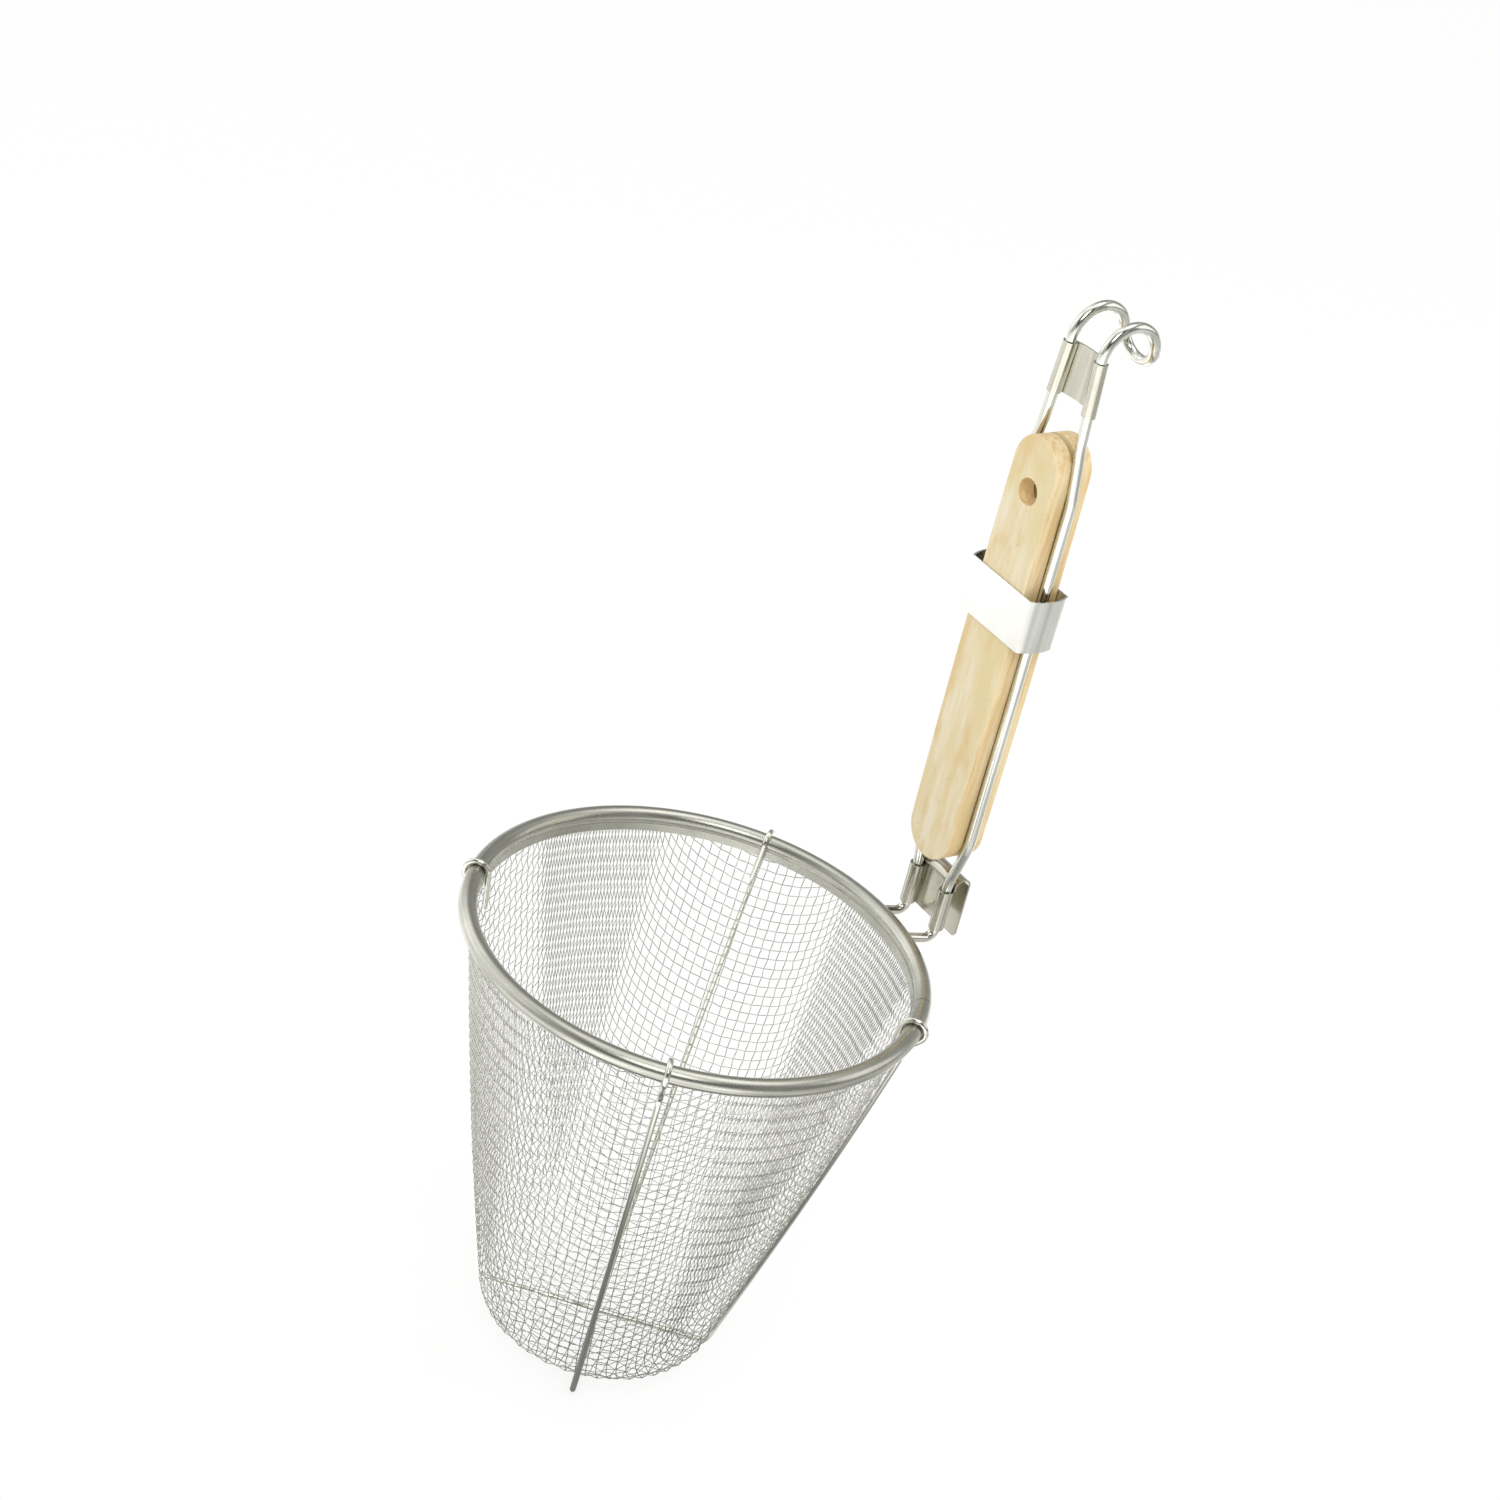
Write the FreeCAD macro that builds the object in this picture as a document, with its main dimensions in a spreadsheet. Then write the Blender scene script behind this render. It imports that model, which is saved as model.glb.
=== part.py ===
import FreeCAD, Part
import math
import os
import Sketcher

# Blanching basket for noodles: a tapered wire basket with a folded rim, a bent wire
# handle with two wooden slabs, a bracket that hooks over the rim of a pot and a double
# hook at the top. Millimetres, +Z up. The origin is the seat of the pot hook, the
# highest line inside its fold, half way across the slot. The handle leaves the basket
# along +X and the basket's axis stands at negative X.

doc = FreeCAD.newDocument("blanching_basket")
sheet = doc.addObject("Spreadsheet::Sheet", "sizes")

SIZES = [
    ("rim_radius", 70.0, "outside of the rim bead"),
    ("bead_radius", 2.7, "round bead of the rim strip"),
    ("strip_thickness", 0.6, "sheet of the rim strip"),
    ("skirt_depth", 6.6, "rim top to the lower edge of the inner leg"),
    ("lip_depth", 5.9, "rim top to the lower edge of the outer leg"),
    ("lip_angle", 70.0, "where the outer leg leaves the bead, in degrees below level"),
    ("skirt_angle", 38.0, "where the inner leg leaves the bead, in degrees below level"),
    ("slot_depth", 4.5, "rim top to the upper edge of the mesh in the fold"),
    ("fold_inset", 0.5, "outside of the mesh there, inwards from the bead's middle"),
    ("basket_depth", 142.0, "rim top to the underside of the mesh"),
    ("base_radius", 35.7, "wall line met with the bottom plane"),
    ("wall_bulge", 1.0, "how far the wall swells between rim and base"),
    ("base_corner", 10.0, "outside radius between wall and bottom"),
    ("mesh_thickness", 1.0, "two crossing wires of the cloth"),
    ("ridge_height", 0.35, "what a ridge stands proud of the cloth"),
    ("ridge_width", 1.0, "width of a ridge"),
    ("ridge_angle", 4.0, "turn of the ridges against the handle in degrees"),
    ("column_count", 16, "columns of gaps round the wall"),
    ("row_count", 6, "rows of gaps down the wall"),
    ("spoke_count", 12, "gaps round each ring of the bottom"),
    ("bar_width", 3.0, "cloth left between two gaps"),
    ("gap_top", 9.6, "rim top to the first row of gaps"),
    ("gap_foot", 13.0, "last row of gaps above the underside"),
    ("hub_radius", 5.0, "closed middle of the bottom"),
    ("bottom_gap", 7.5, "length of a bottom gap along the radius"),
    ("support_wire", 1.8, "diameter of the wires under the basket"),
    ("under_wire_angle", 38.0, "end of the lower wire, in degrees from the handle"),
    ("under_wire_span_angle", 192.0, "from there on to its other end"),
    ("cross_wire_angle", 135.0, "end of the upper wire, in degrees from the handle"),
    ("cross_wire_span_angle", 172.0, "from there on to its other end"),
    ("support_bend", 2.5, "bend where such a wire turns under the base"),
    ("support_stand_off", 0.95, "corner of the wire outside the wall line"),
    ("support_end", 13.5, "rim top to the free end inside the basket"),
    ("touch_gap", 0.05, "air between pieces that lie against each other"),
    ("handle_gap", 14.0, "outside of the rim to the plane of the handle wires"),
    ("handle_angle", 2.2, "lean of the handle towards the basket in degrees"),
    ("handle_wire", 3.2, "diameter of the handle wire"),
    ("weld_height", 6.4, "rim top down to the wire ends at the rim"),
    ("elbow_height", 9.6, "rim top down to the bend under the bracket"),
    ("weld_bend", 3.2, "bend from the weld up into the bracket"),
    ("foot_spacing", 14.92, "between the wires in the bracket"),
    ("grip_spacing", 22.9, "between the wires along the slabs"),
    ("neck_spacing", 17.0, "between the wires above the slabs"),
    ("hook_spacing", 13.8, "between the wires in the hook"),
    ("spread_lead", 6.9, "start of their parting, below the slabs' foot"),
    ("spread_run", 16.5, "height in which they part"),
    ("draw_in_lead", 16.0, "where they start to close, below the slabs' top"),
    ("neck_rise", 1.0, "the neck above the slabs' top"),
    ("hook_rise", 0.6, "start of the hook's bend above the clip"),
    ("hook_lead", 1.2, "straight wire before that bend"),
    ("hook_radius", 9.5, "bend of the hook"),
    ("hook_angle", 164.0, "turn of the hook in degrees"),
    ("gentle_bend", 25.0, "bends of the wires beside the slabs"),
    ("slab_reach", 6.5, "outer face of a slab from the plane of the wires"),
    ("slab_gap", 2.0, "between the two slabs"),
    ("slab_foot", 17.4, "lower end of the slabs"),
    ("slab_length", 140.6, "length of the slabs"),
    ("slab_end_width", 18.8, "width where the round ends start"),
    ("slab_swell", 0.6, "how far each side swells in the middle"),
    ("slab_round", 0.4, "rounding of the outer edges"),
    ("hole_radius", 4.0, "hole through the grip"),
    ("hole_inset", 17.0, "middle of that hole below the slabs' top"),
    ("groove_clearance", 0.1, "air round the wire in the slabs' groove"),
    ("band_sheet", 0.5, "sheet of the band"),
    ("band_rise", 79.1, "lower edge of the band above the slabs' foot"),
    ("band_height", 16.7, "height of the band"),
    ("band_spacing", 26.6, "inside width of the band at its corners"),
    ("band_swell", 1.9, "how far each side of the band swells"),
    ("bracket_sheet", 0.6, "sheet of the bracket"),
    ("tube_clearance", 0.15, "air between wire and rolled tube"),
    ("bracket_foot", -5.5, "lower edge of the bracket's tubes"),
    ("bracket_top", 8.2, "upper edge of the bracket's tubes"),
    ("fold_start", 9.0, "height where the sheet turns over"),
    ("pot_slot", 4.8, "width of the slot for the rim of a pot"),
    ("flap_width", 18.0, "width of the flap behind"),
    ("flap_foot", -9.7, "lower edge of the flap"),
    ("flap_corner", 1.5, "rounding of the flap's lower corners"),
    ("clip_sheet", 0.45, "sheet of the top clip"),
    ("clip_clearance", 0.1, "air between wire and clip"),
    ("clip_rise", 10.2, "lower edge of the top clip above the slabs' top"),
    ("clip_height", 15.8, "height of the top clip"),
    ("clip_dish", 1.2, "how far the clip's web is dished back"),
]
for row, (alias, amount, note) in enumerate(SIZES, start=1):
    sheet.set("A%d" % row, alias)
    sheet.set("B%d" % row, str(amount))
    sheet.setAlias("B%d" % row, alias)
    sheet.set("C%d" % row, note)
doc.recompute()


class Size:
    """A length that carries its number and the formula that binds it to the sheet."""

    def __init__(self, number, formula):
        self.number = float(number)
        self.formula = formula

    def __add__(self, other):
        other = as_size(other)
        return Size(self.number + other.number, "(%s + %s)" % (self.formula, other.formula))

    def __sub__(self, other):
        other = as_size(other)
        return Size(self.number - other.number, "(%s - %s)" % (self.formula, other.formula))

    def __mul__(self, other):
        other = as_size(other)
        return Size(self.number * other.number, "(%s * %s)" % (self.formula, other.formula))

    def __truediv__(self, other):
        other = as_size(other)
        return Size(self.number / other.number, "(%s / %s)" % (self.formula, other.formula))

    def __neg__(self):
        return Size(-self.number, "(0 - %s)" % self.formula)

    def __radd__(self, other):
        return as_size(other) + self

    def __rsub__(self, other):
        return as_size(other) - self

    def __rmul__(self, other):
        return as_size(other) * self

    def __rtruediv__(self, other):
        return as_size(other) / self


def as_size(amount):
    if isinstance(amount, Size):
        return amount
    return Size(amount, "(%r)" % float(amount))


def size(alias):
    """The sheet's value of that name."""
    return Size(getattr(sheet, alias), "sizes.%s" % alias)


def tangent(degrees):
    return Size(math.tan(math.radians(degrees.number)), "tan(%s)" % degrees.formula)


def sine(degrees):
    return Size(math.sin(math.radians(degrees.number)), "sin(%s)" % degrees.formula)


def cosine(degrees):
    return Size(math.cos(math.radians(degrees.number)), "cos(%s)" % degrees.formula)


def root(amount):
    return Size(math.sqrt(amount.number), "sqrt(%s)" % amount.formula)


def number(alias):
    return float(getattr(sheet, alias))


def new_body(label):
    body = doc.addObject("PartDesign::Body", label)
    body.Label = label
    return body


def new_sketch(body, name, role):
    """A sketch on one of the body's own origin planes."""
    sketch = body.newObject("Sketcher::SketchObject", name)
    plane = [item for item in body.Origin.OriginFeatures if item.Role == role][0]
    sketch.AttachmentSupport = [(plane, "")]
    sketch.MapMode = "FlatFace"
    return sketch


def raise_sketch(sketch, height):
    """Move a sketch off its plane by a length bound to the sheet."""
    sketch.AttachmentOffset = FreeCAD.Placement(FreeCAD.Vector(0, 0, height.number), FreeCAD.Rotation())
    sketch.setExpression("AttachmentOffset.Base.z", height.formula)


def bind(sketch, index, amount):
    sketch.setExpression("Constraints[%d]" % index, amount.formula)


def place_point(sketch, edge, position, x, y):
    """Hold one point of the sketch at (x, y), both bound to the sheet."""
    for kind, amount in (("DistanceX", x), ("DistanceY", y)):
        index = sketch.addConstraint(
            Sketcher.Constraint(kind, -1, 1, edge, position, amount.number))
        bind(sketch, index, amount)


def point_at(x, y):
    return FreeCAD.Vector(x.number, y.number, 0)


def straight():
    return None


def arc(through_x, through_y, axis, centre):
    """An edge bent through a point, with one coordinate of its centre held."""
    return (as_size(through_x), as_size(through_y), axis, as_size(centre))


def draw_outline(sketch, corners):
    """Close an outline of corners (x, y, edge to the next corner)."""
    corners = [(as_size(x), as_size(y), edge) for x, y, edge in corners]
    edges = []
    for here, (x, y, bend) in enumerate(corners):
        next_x, next_y, _ = corners[(here + 1) % len(corners)]
        start = point_at(x, y)
        end = point_at(next_x, next_y)
        if bend is None:
            edge = sketch.addGeometry(Part.LineSegment(start, end), False)
            first, last = 1, 2
        else:
            through_x, through_y, axis, centre = bend
            middle = point_at(through_x, through_y)
            edge = sketch.addGeometry(Part.Arc(start, middle, end), False)
            first, last = 1, 2
            first_gap = sketch.getPoint(edge, 1).distanceToPoint(start)
            last_gap = sketch.getPoint(edge, 2).distanceToPoint(start)
            if first_gap > last_gap:
                first, last = 2, 1
            kind = "DistanceX" if axis == "x" else "DistanceY"
            index = sketch.addConstraint(
                Sketcher.Constraint(kind, -1, 1, edge, 3, centre.number))
            bind(sketch, index, centre)
        edges.append((edge, first, last))
    for here, (edge, first, last) in enumerate(edges):
        next_edge, next_first, _ = edges[(here + 1) % len(edges)]
        sketch.addConstraint(Sketcher.Constraint("Coincident", edge, last, next_edge, next_first))
        place_point(sketch, edge, first, corners[here][0], corners[here][1])


def draw_circle(sketch, x, y, radius):
    x, y, radius = as_size(x), as_size(y), as_size(radius)
    circle = Part.Circle(point_at(x, y), FreeCAD.Vector(0, 0, 1), radius.number)
    edge = sketch.addGeometry(circle, False)
    place_point(sketch, edge, 3, x, y)
    index = sketch.addConstraint(Sketcher.Constraint("Radius", edge, radius.number))
    bind(sketch, index, radius)


def pad(body, sketch, name, length, symmetric=False, reverse=False):
    feature = body.newObject("PartDesign::Pad", name)
    feature.Profile = sketch
    feature.Length = length.number
    feature.setExpression("Length", length.formula)
    feature.Midplane = symmetric
    feature.Reversed = reverse
    return feature


def pocket(body, sketch, name, length, reverse=False, symmetric=False):
    feature = body.newObject("PartDesign::Pocket", name)
    feature.Profile = sketch
    feature.Length = length.number
    feature.setExpression("Length", length.formula)
    feature.Reversed = reverse
    feature.Midplane = symmetric
    return feature


def revolve(body, sketch, name):
    feature = body.newObject("PartDesign::Revolution", name)
    feature.Profile = sketch
    feature.ReferenceAxis = (sketch, ["V_Axis"])
    feature.Angle = 360.0
    return feature


def polar(body, original, name, count):
    feature = body.newObject("PartDesign::PolarPattern", name)
    feature.Originals = [original]
    axis = [item for item in body.Origin.OriginFeatures if item.Role == "Z_Axis"][0]
    feature.Axis = (axis, [""])
    feature.Angle = 360.0
    feature.Occurrences = int(count.number)
    feature.setExpression("Occurrences", count.formula)
    body.Tip = feature
    return feature


# Places of the two groups of pieces

wire_half = size("handle_wire") / 2
tube_bore = wire_half + size("tube_clearance")
tube_outside = tube_bore + size("bracket_sheet")
slot_middle = tube_outside + size("pot_slot") / 2
seat_height = size("fold_start") + size("pot_slot") / 2

slab_top = size("slab_foot") + size("slab_length")
band_foot = size("slab_foot") + size("band_rise")
neck_height = slab_top + size("neck_rise")
clip_foot = slab_top + size("clip_rise")
clip_top = clip_foot + size("clip_height")
hook_start = clip_top + size("hook_rise")

lean = FreeCAD.Rotation(FreeCAD.Vector(0, 1, 0), -number("handle_angle"))
seat_in_handle = FreeCAD.Vector(slot_middle.number, 0, seat_height.number)
HANDLE = FreeCAD.Placement(-lean.multVec(seat_in_handle), lean)
handle_reach = size("rim_radius") + size("handle_gap")
rim_centre = HANDLE.Base - FreeCAD.Vector(handle_reach.number, 0, 0)
BASKET = FreeCAD.Placement(rim_centre, FreeCAD.Rotation())

# Rim band: a strip folded into a bead with two legs that grip the mesh

bead = size("bead_radius")
bead_middle = size("rim_radius") - bead
wall_drop = size("basket_depth") - size("slot_depth")
slope = (bead_middle - size("fold_inset") - size("base_radius")) / wall_drop
stretch = root(1 + slope * slope)
corner_start = size("basket_depth") - size("base_corner") * (1 - slope / stretch)


def wall_radius(depth):
    """Outside of the mesh at that depth under the rim's top, as a straight cone."""
    return size("base_radius") + (size("basket_depth") - depth) * slope


def inner_wall_radius(depth):
    """Inside of the mesh at that depth, as a straight cone."""
    return wall_radius(depth) - size("mesh_thickness") * stretch


def bulge_at(depth):
    """What the wall swells outwards between the rim's inner leg and the base."""
    share = (depth - size("skirt_depth")) / (corner_start - size("skirt_depth"))
    return size("wall_bulge") * 4 * share * (1 - share)


def build_rim_band():
    body = new_body("rim_band")
    sketch = new_sketch(body, "rim_section", "XZ_Plane")
    sheet_metal = size("strip_thickness")
    lip = size("lip_depth")
    skirt = size("skirt_depth")
    slot = size("slot_depth")
    lip_angle = size("lip_angle")
    skirt_angle = size("skirt_angle")
    draw_outline(sketch, [
        (wall_radius(lip) + sheet_metal, -lip, straight()),
        (bead_middle + bead * cosine(lip_angle), -bead - bead * sine(lip_angle),
         arc(bead_middle, 0, "y", -bead)),
        (bead_middle - bead * cosine(skirt_angle), -bead - bead * sine(skirt_angle), straight()),
        (inner_wall_radius(skirt) - sheet_metal, -skirt, straight()),
        (inner_wall_radius(skirt), -skirt, straight()),
        (inner_wall_radius(slot), -slot, straight()),
        (wall_radius(slot), -slot, straight()),
        (wall_radius(lip), -lip, straight()),
    ])
    revolve(body, sketch, "rim_ring")
    body.Placement = BASKET
    return body


# Mesh basket: one piece of wire cloth, drawn as a wall with ridges and gaps

def build_mesh_basket():
    body = new_body("mesh_basket")
    mesh = size("mesh_thickness")
    depth = size("basket_depth")
    base = size("base_radius")
    corner = size("base_corner")
    inner_corner = corner - mesh
    corner_centre = base - corner * (stretch - slope)
    corner_level = corner - depth
    skirt = size("skirt_depth")
    slot = size("slot_depth")

    section = new_sketch(body, "mesh_section", "XZ_Plane")
    rows = size("row_count")
    bar = size("bar_width")
    gap_run = depth - size("gap_top") - size("gap_foot")
    gap_pitch = (gap_run + bar) / rows
    gap_height = gap_pitch - bar
    ridge = size("ridge_height")
    ridge_half = size("ridge_width") / 2
    hoops = [size("gap_top") + gap_pitch * row - bar / 2 for row in range(1, int(rows.number))]
    diagonal = sine(as_size(45))
    corners = [
        (0, -depth, straight()),
        (corner_centre, -depth,
         arc(corner_centre + corner * diagonal, corner_level - corner * diagonal, "y", corner_level)),
        (corner_centre + corner / stretch, corner_level - corner * slope / stretch, straight()),
    ]
    for hoop in hoops[::-1]:
        corners.append((wall_radius(hoop) + bulge_at(hoop), -hoop, straight()))
    corners += [
        (wall_radius(skirt), -skirt, straight()),
        (wall_radius(slot), -slot, straight()),
        (inner_wall_radius(slot), -slot, straight()),
        (inner_wall_radius(skirt), -skirt, straight()),
    ]
    for hoop in hoops:
        upper = inner_wall_radius(hoop - ridge_half) + bulge_at(hoop)
        lower = inner_wall_radius(hoop + ridge_half) + bulge_at(hoop)
        corners.append((upper, ridge_half - hoop, straight()))
        corners.append((upper - ridge, ridge_half - hoop, straight()))
        corners.append((lower - ridge, -hoop - ridge_half, straight()))
        corners.append((lower, -hoop - ridge_half, straight()))
    corners += [
        (corner_centre + inner_corner / stretch, corner_level - inner_corner * slope / stretch,
         arc(corner_centre + inner_corner * diagonal, corner_level - inner_corner * diagonal,
             "y", corner_level)),
        (corner_centre, mesh - depth, straight()),
        (0, mesh - depth, straight()),
    ]
    draw_outline(section, corners)
    revolve(body, section, "mesh_cup")

    # Ridges down the wall, half way between the columns of gaps
    rib_sketch = new_sketch(body, "ridge_section", "XZ_Plane")
    stations = [(skirt, 0)] + [(hoop, bulge_at(hoop)) for hoop in hoops] + [(corner_start, 0)]
    rib_corners = []
    for station, swell in stations:
        rib_corners.append((wall_radius(station) + swell + ridge, -station, straight()))
    for station, swell in stations[::-1]:
        rib_corners.append((wall_radius(station) + swell - mesh / 2, -station, straight()))
    draw_outline(rib_sketch, rib_corners)
    rib = pad(body, rib_sketch, "wall_ridge", size("ridge_width"), symmetric=True)
    doc.recompute()
    polar(body, rib, "wall_ridges", size("column_count"))

    # One column of gaps, cut outwards and turned half a pitch from the ridges
    gap_sketch = new_sketch(body, "gap_column", "YZ_Plane")
    half_pitch = tangent(180 / size("column_count"))
    for row in range(int(rows.number)):
        top = size("gap_top") + gap_pitch * row
        foot = top + gap_height
        half_top = wall_radius(top) * half_pitch - bar / 2
        half_foot = wall_radius(foot) * half_pitch - bar / 2
        draw_outline(gap_sketch, [
            (-half_top, -top, straight()),
            (half_top, -top, straight()),
            (half_foot, -foot, straight()),
            (-half_foot, -foot, straight()),
        ])
    gap = pocket(body, gap_sketch, "wall_gap", size("rim_radius"), reverse=True)
    doc.recompute()
    polar(body, gap, "wall_gaps", size("column_count"))

    # Two rings of gaps in the bottom
    bottom_sketch = new_sketch(body, "gap_spoke", "XY_Plane")
    spoke = tangent(180 / size("spoke_count"))
    inner = size("hub_radius")
    for ring in range(2):
        near = inner + (size("bottom_gap") + bar) * ring
        far = near + size("bottom_gap")
        draw_outline(bottom_sketch, [
            (near, -(near * spoke - bar / 4), straight()),
            (far, -(far * spoke - bar / 2), straight()),
            (far, far * spoke - bar / 2, straight()),
            (near, near * spoke - bar / 4, straight()),
        ])
    opening = pocket(body, bottom_sketch, "bottom_gap_pair", depth + mesh)
    doc.recompute()
    polar(body, opening, "bottom_gaps", size("spoke_count"))
    turn = FreeCAD.Rotation(FreeCAD.Vector(0, 0, 1), -number("ridge_angle"))
    body.Placement = FreeCAD.Placement(BASKET.Base, turn)
    return body


# Bent wires

def rounded_path(points, bends):
    """A wire of straight runs with an arc of the given radius at each inner point."""
    edges = []
    here = points[0]
    for index in range(1, len(points) - 1):
        corner = points[index]
        back = (points[index - 1] - corner).normalize()
        ahead = (points[index + 1] - corner).normalize()
        half_angle = back.getAngle(ahead) / 2
        trim = bends[index - 1] / math.tan(half_angle)
        start = corner + back * trim
        end = corner + ahead * trim
        bisector = (back + ahead).normalize()
        crest = corner + bisector * (bends[index - 1] / math.sin(half_angle) - bends[index - 1])
        edges.append(Part.LineSegment(here, start).toShape())
        edges.append(Part.Arc(start, crest, end).toShape())
        here = end
    edges.append(Part.LineSegment(here, points[-1]).toShape())
    return edges


def sweep_wire(label, edges, diameter_alias, extra_alias=None):
    """Sweep a round section along joined edges."""
    path = doc.addObject("Part::Feature", label + "_path")
    path.Shape = Part.Wire(edges)
    section = doc.addObject("Part::Circle", label + "_section")
    formula = "sizes.%s / 2" % diameter_alias
    if extra_alias:
        formula += " + sizes.%s" % extra_alias
    section.setExpression("Radius", formula)
    first = path.Shape.OrderedEdges[0]
    direction = first.tangentAt(first.FirstParameter)
    section.Placement = FreeCAD.Placement(
        first.valueAt(first.FirstParameter), FreeCAD.Rotation(FreeCAD.Vector(0, 0, 1), direction))
    swept = doc.addObject("Part::Sweep", label)
    swept.Sections = [section]
    swept.Spine = (path, ["Edge%d" % (index + 1) for index in range(len(path.Shape.Edges))])
    swept.Solid = True
    swept.Frenet = False
    return swept


def support_edges(first_angle, span_angle, drop):
    """One wire from the inside of the rim over the bead, under the base and up again."""
    half = number("support_wire") / 2
    bead_x = bead_middle.number
    bead_z = -number("bead_radius")
    wrap = number("bead_radius") + half + number("touch_gap")
    run_z = -number("basket_depth") - half - number("touch_gap") - drop
    corner_x = number("base_radius") + number("support_stand_off")

    # The outer leg leaves the wrapped bead as a tangent that ends at the base corner
    to_bead = FreeCAD.Vector(bead_x - corner_x, 0, bead_z - run_z)
    leg_angle = math.atan2(to_bead.x, to_bead.z) + math.asin(wrap / to_bead.Length)
    leg_length = math.sqrt(to_bead.Length ** 2 - wrap ** 2)
    outer = FreeCAD.Vector(corner_x + leg_length * math.sin(leg_angle), 0,
                           run_z + leg_length * math.cos(leg_angle))

    # The inner leg follows the skirt down to its free end
    end_x = (wall_radius(size("support_end")).number - number("mesh_thickness")
             - number("strip_thickness") - half - number("touch_gap"))
    end = FreeCAD.Vector(end_x, 0, -number("support_end"))
    to_end = FreeCAD.Vector(bead_x - end.x, 0, bead_z - end.z)
    inner_angle = math.atan2(to_end.x, to_end.z) - math.asin(wrap / to_end.Length)
    inner_length = math.sqrt(to_end.Length ** 2 - wrap ** 2)
    inner = FreeCAD.Vector(end.x + inner_length * math.sin(inner_angle), 0,
                           end.z + inner_length * math.cos(inner_angle))
    crest = FreeCAD.Vector(bead_x, 0, bead_z + wrap)
    corner = FreeCAD.Vector(corner_x, 0, run_z)

    # Each end stands at its own angle round the basket
    def placed(angle):
        turn = FreeCAD.Placement(BASKET.Base, FreeCAD.Rotation(FreeCAD.Vector(0, 0, 1), angle))
        return [turn.multVec(point) for point in (end, inner, crest, outer, corner)]

    end_a, inner_a, crest_a, outer_a, corner_a = placed(first_angle)
    end_b, inner_b, crest_b, outer_b, corner_b = placed(first_angle + span_angle)
    edges = [Part.LineSegment(end_a, inner_a).toShape(), Part.Arc(inner_a, crest_a, outer_a).toShape()]
    edges += rounded_path(
        [outer_a, corner_a, corner_b, outer_b], [number("support_bend"), number("support_bend")])
    edges += [Part.Arc(outer_b, crest_b, inner_b).toShape(), Part.LineSegment(inner_b, end_b).toShape()]
    return edges


def handle_edges():
    """The long wire: weld, bracket, along the slabs, through the clip, hook and back."""
    foot = number("foot_spacing") / 2
    grip = number("grip_spacing") / 2
    neck = number("neck_spacing") / 2
    hook = number("hook_spacing") / 2
    weld = FreeCAD.Vector(bead_middle.number, 0, -number("weld_height"))
    weld = HANDLE.inverse().multVec(BASKET.multVec(weld))
    elbow_z = -number("elbow_height")
    bend = number("gentle_bend")
    radius = number("hook_radius")
    turn = math.radians(number("hook_angle"))
    start = hook_start.number
    spread_start = number("slab_foot") - number("spread_lead")

    def side(sign):
        points = [
            FreeCAD.Vector(weld.x, sign * foot, weld.z),
            FreeCAD.Vector(0, sign * foot, elbow_z),
            FreeCAD.Vector(0, sign * foot, spread_start),
            FreeCAD.Vector(0, sign * grip, spread_start + number("spread_run")),
            FreeCAD.Vector(0, sign * grip, slab_top.number - number("draw_in_lead")),
            FreeCAD.Vector(0, sign * neck, neck_height.number),
            FreeCAD.Vector(0, sign * hook, start - number("hook_lead")),
            FreeCAD.Vector(0, sign * hook, start),
        ]
        return rounded_path(points, [number("weld_bend"), bend, bend, bend, bend, bend / 2])

    def over(angle, sign):
        forward = radius * (1 - math.cos(angle))
        return FreeCAD.Vector(forward, sign * hook, start + radius * math.sin(angle))

    tip = FreeCAD.Vector(over(turn, 0).x + hook * math.sin(turn), 0, over(turn, 0).z + hook * math.cos(turn))
    edges = side(1)
    edges.append(Part.Arc(over(0, 1), over(turn / 2, 1), over(turn, 1)).toShape())
    edges.append(Part.Arc(over(turn, 1), tip, over(turn, -1)).toShape())
    edges.append(Part.Arc(over(turn, -1), over(turn / 2, -1), over(0, -1)).toShape())
    edges += side(-1)[::-1]
    for edge in edges:
        edge.Placement = HANDLE.multiply(edge.Placement)
    return edges


def cut(label, base, tool):
    feature = doc.addObject("Part::Cut", label)
    feature.Base = base
    feature.Tool = tool
    feature.Label = label
    return feature


# Bracket: rolled tubes in front, folded over a slot into a flap behind

def tube_pair_outline(sketch, spacing, bore, outside, dish):
    """Two tubes joined by a web behind them, seen along the wires."""
    half = spacing / 2
    close = half - root(outside * outside - bore * bore)
    if dish is None:
        back = front = straight()
    else:
        def bow(half_chord, x):
            return x + dish / 2 - half_chord * half_chord / (dish * 2)
        back = arc(outside + dish, 0, "x", bow(half, outside))
        front = arc(bore + dish, 0, "x", bow(close, bore))
    draw_outline(sketch, [
        (outside, -half, back),
        (outside, half, arc(-outside, half, "y", half)),
        (bore, close, front),
        (bore, -close, arc(-outside, -half, "y", -half)),
    ])


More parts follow.
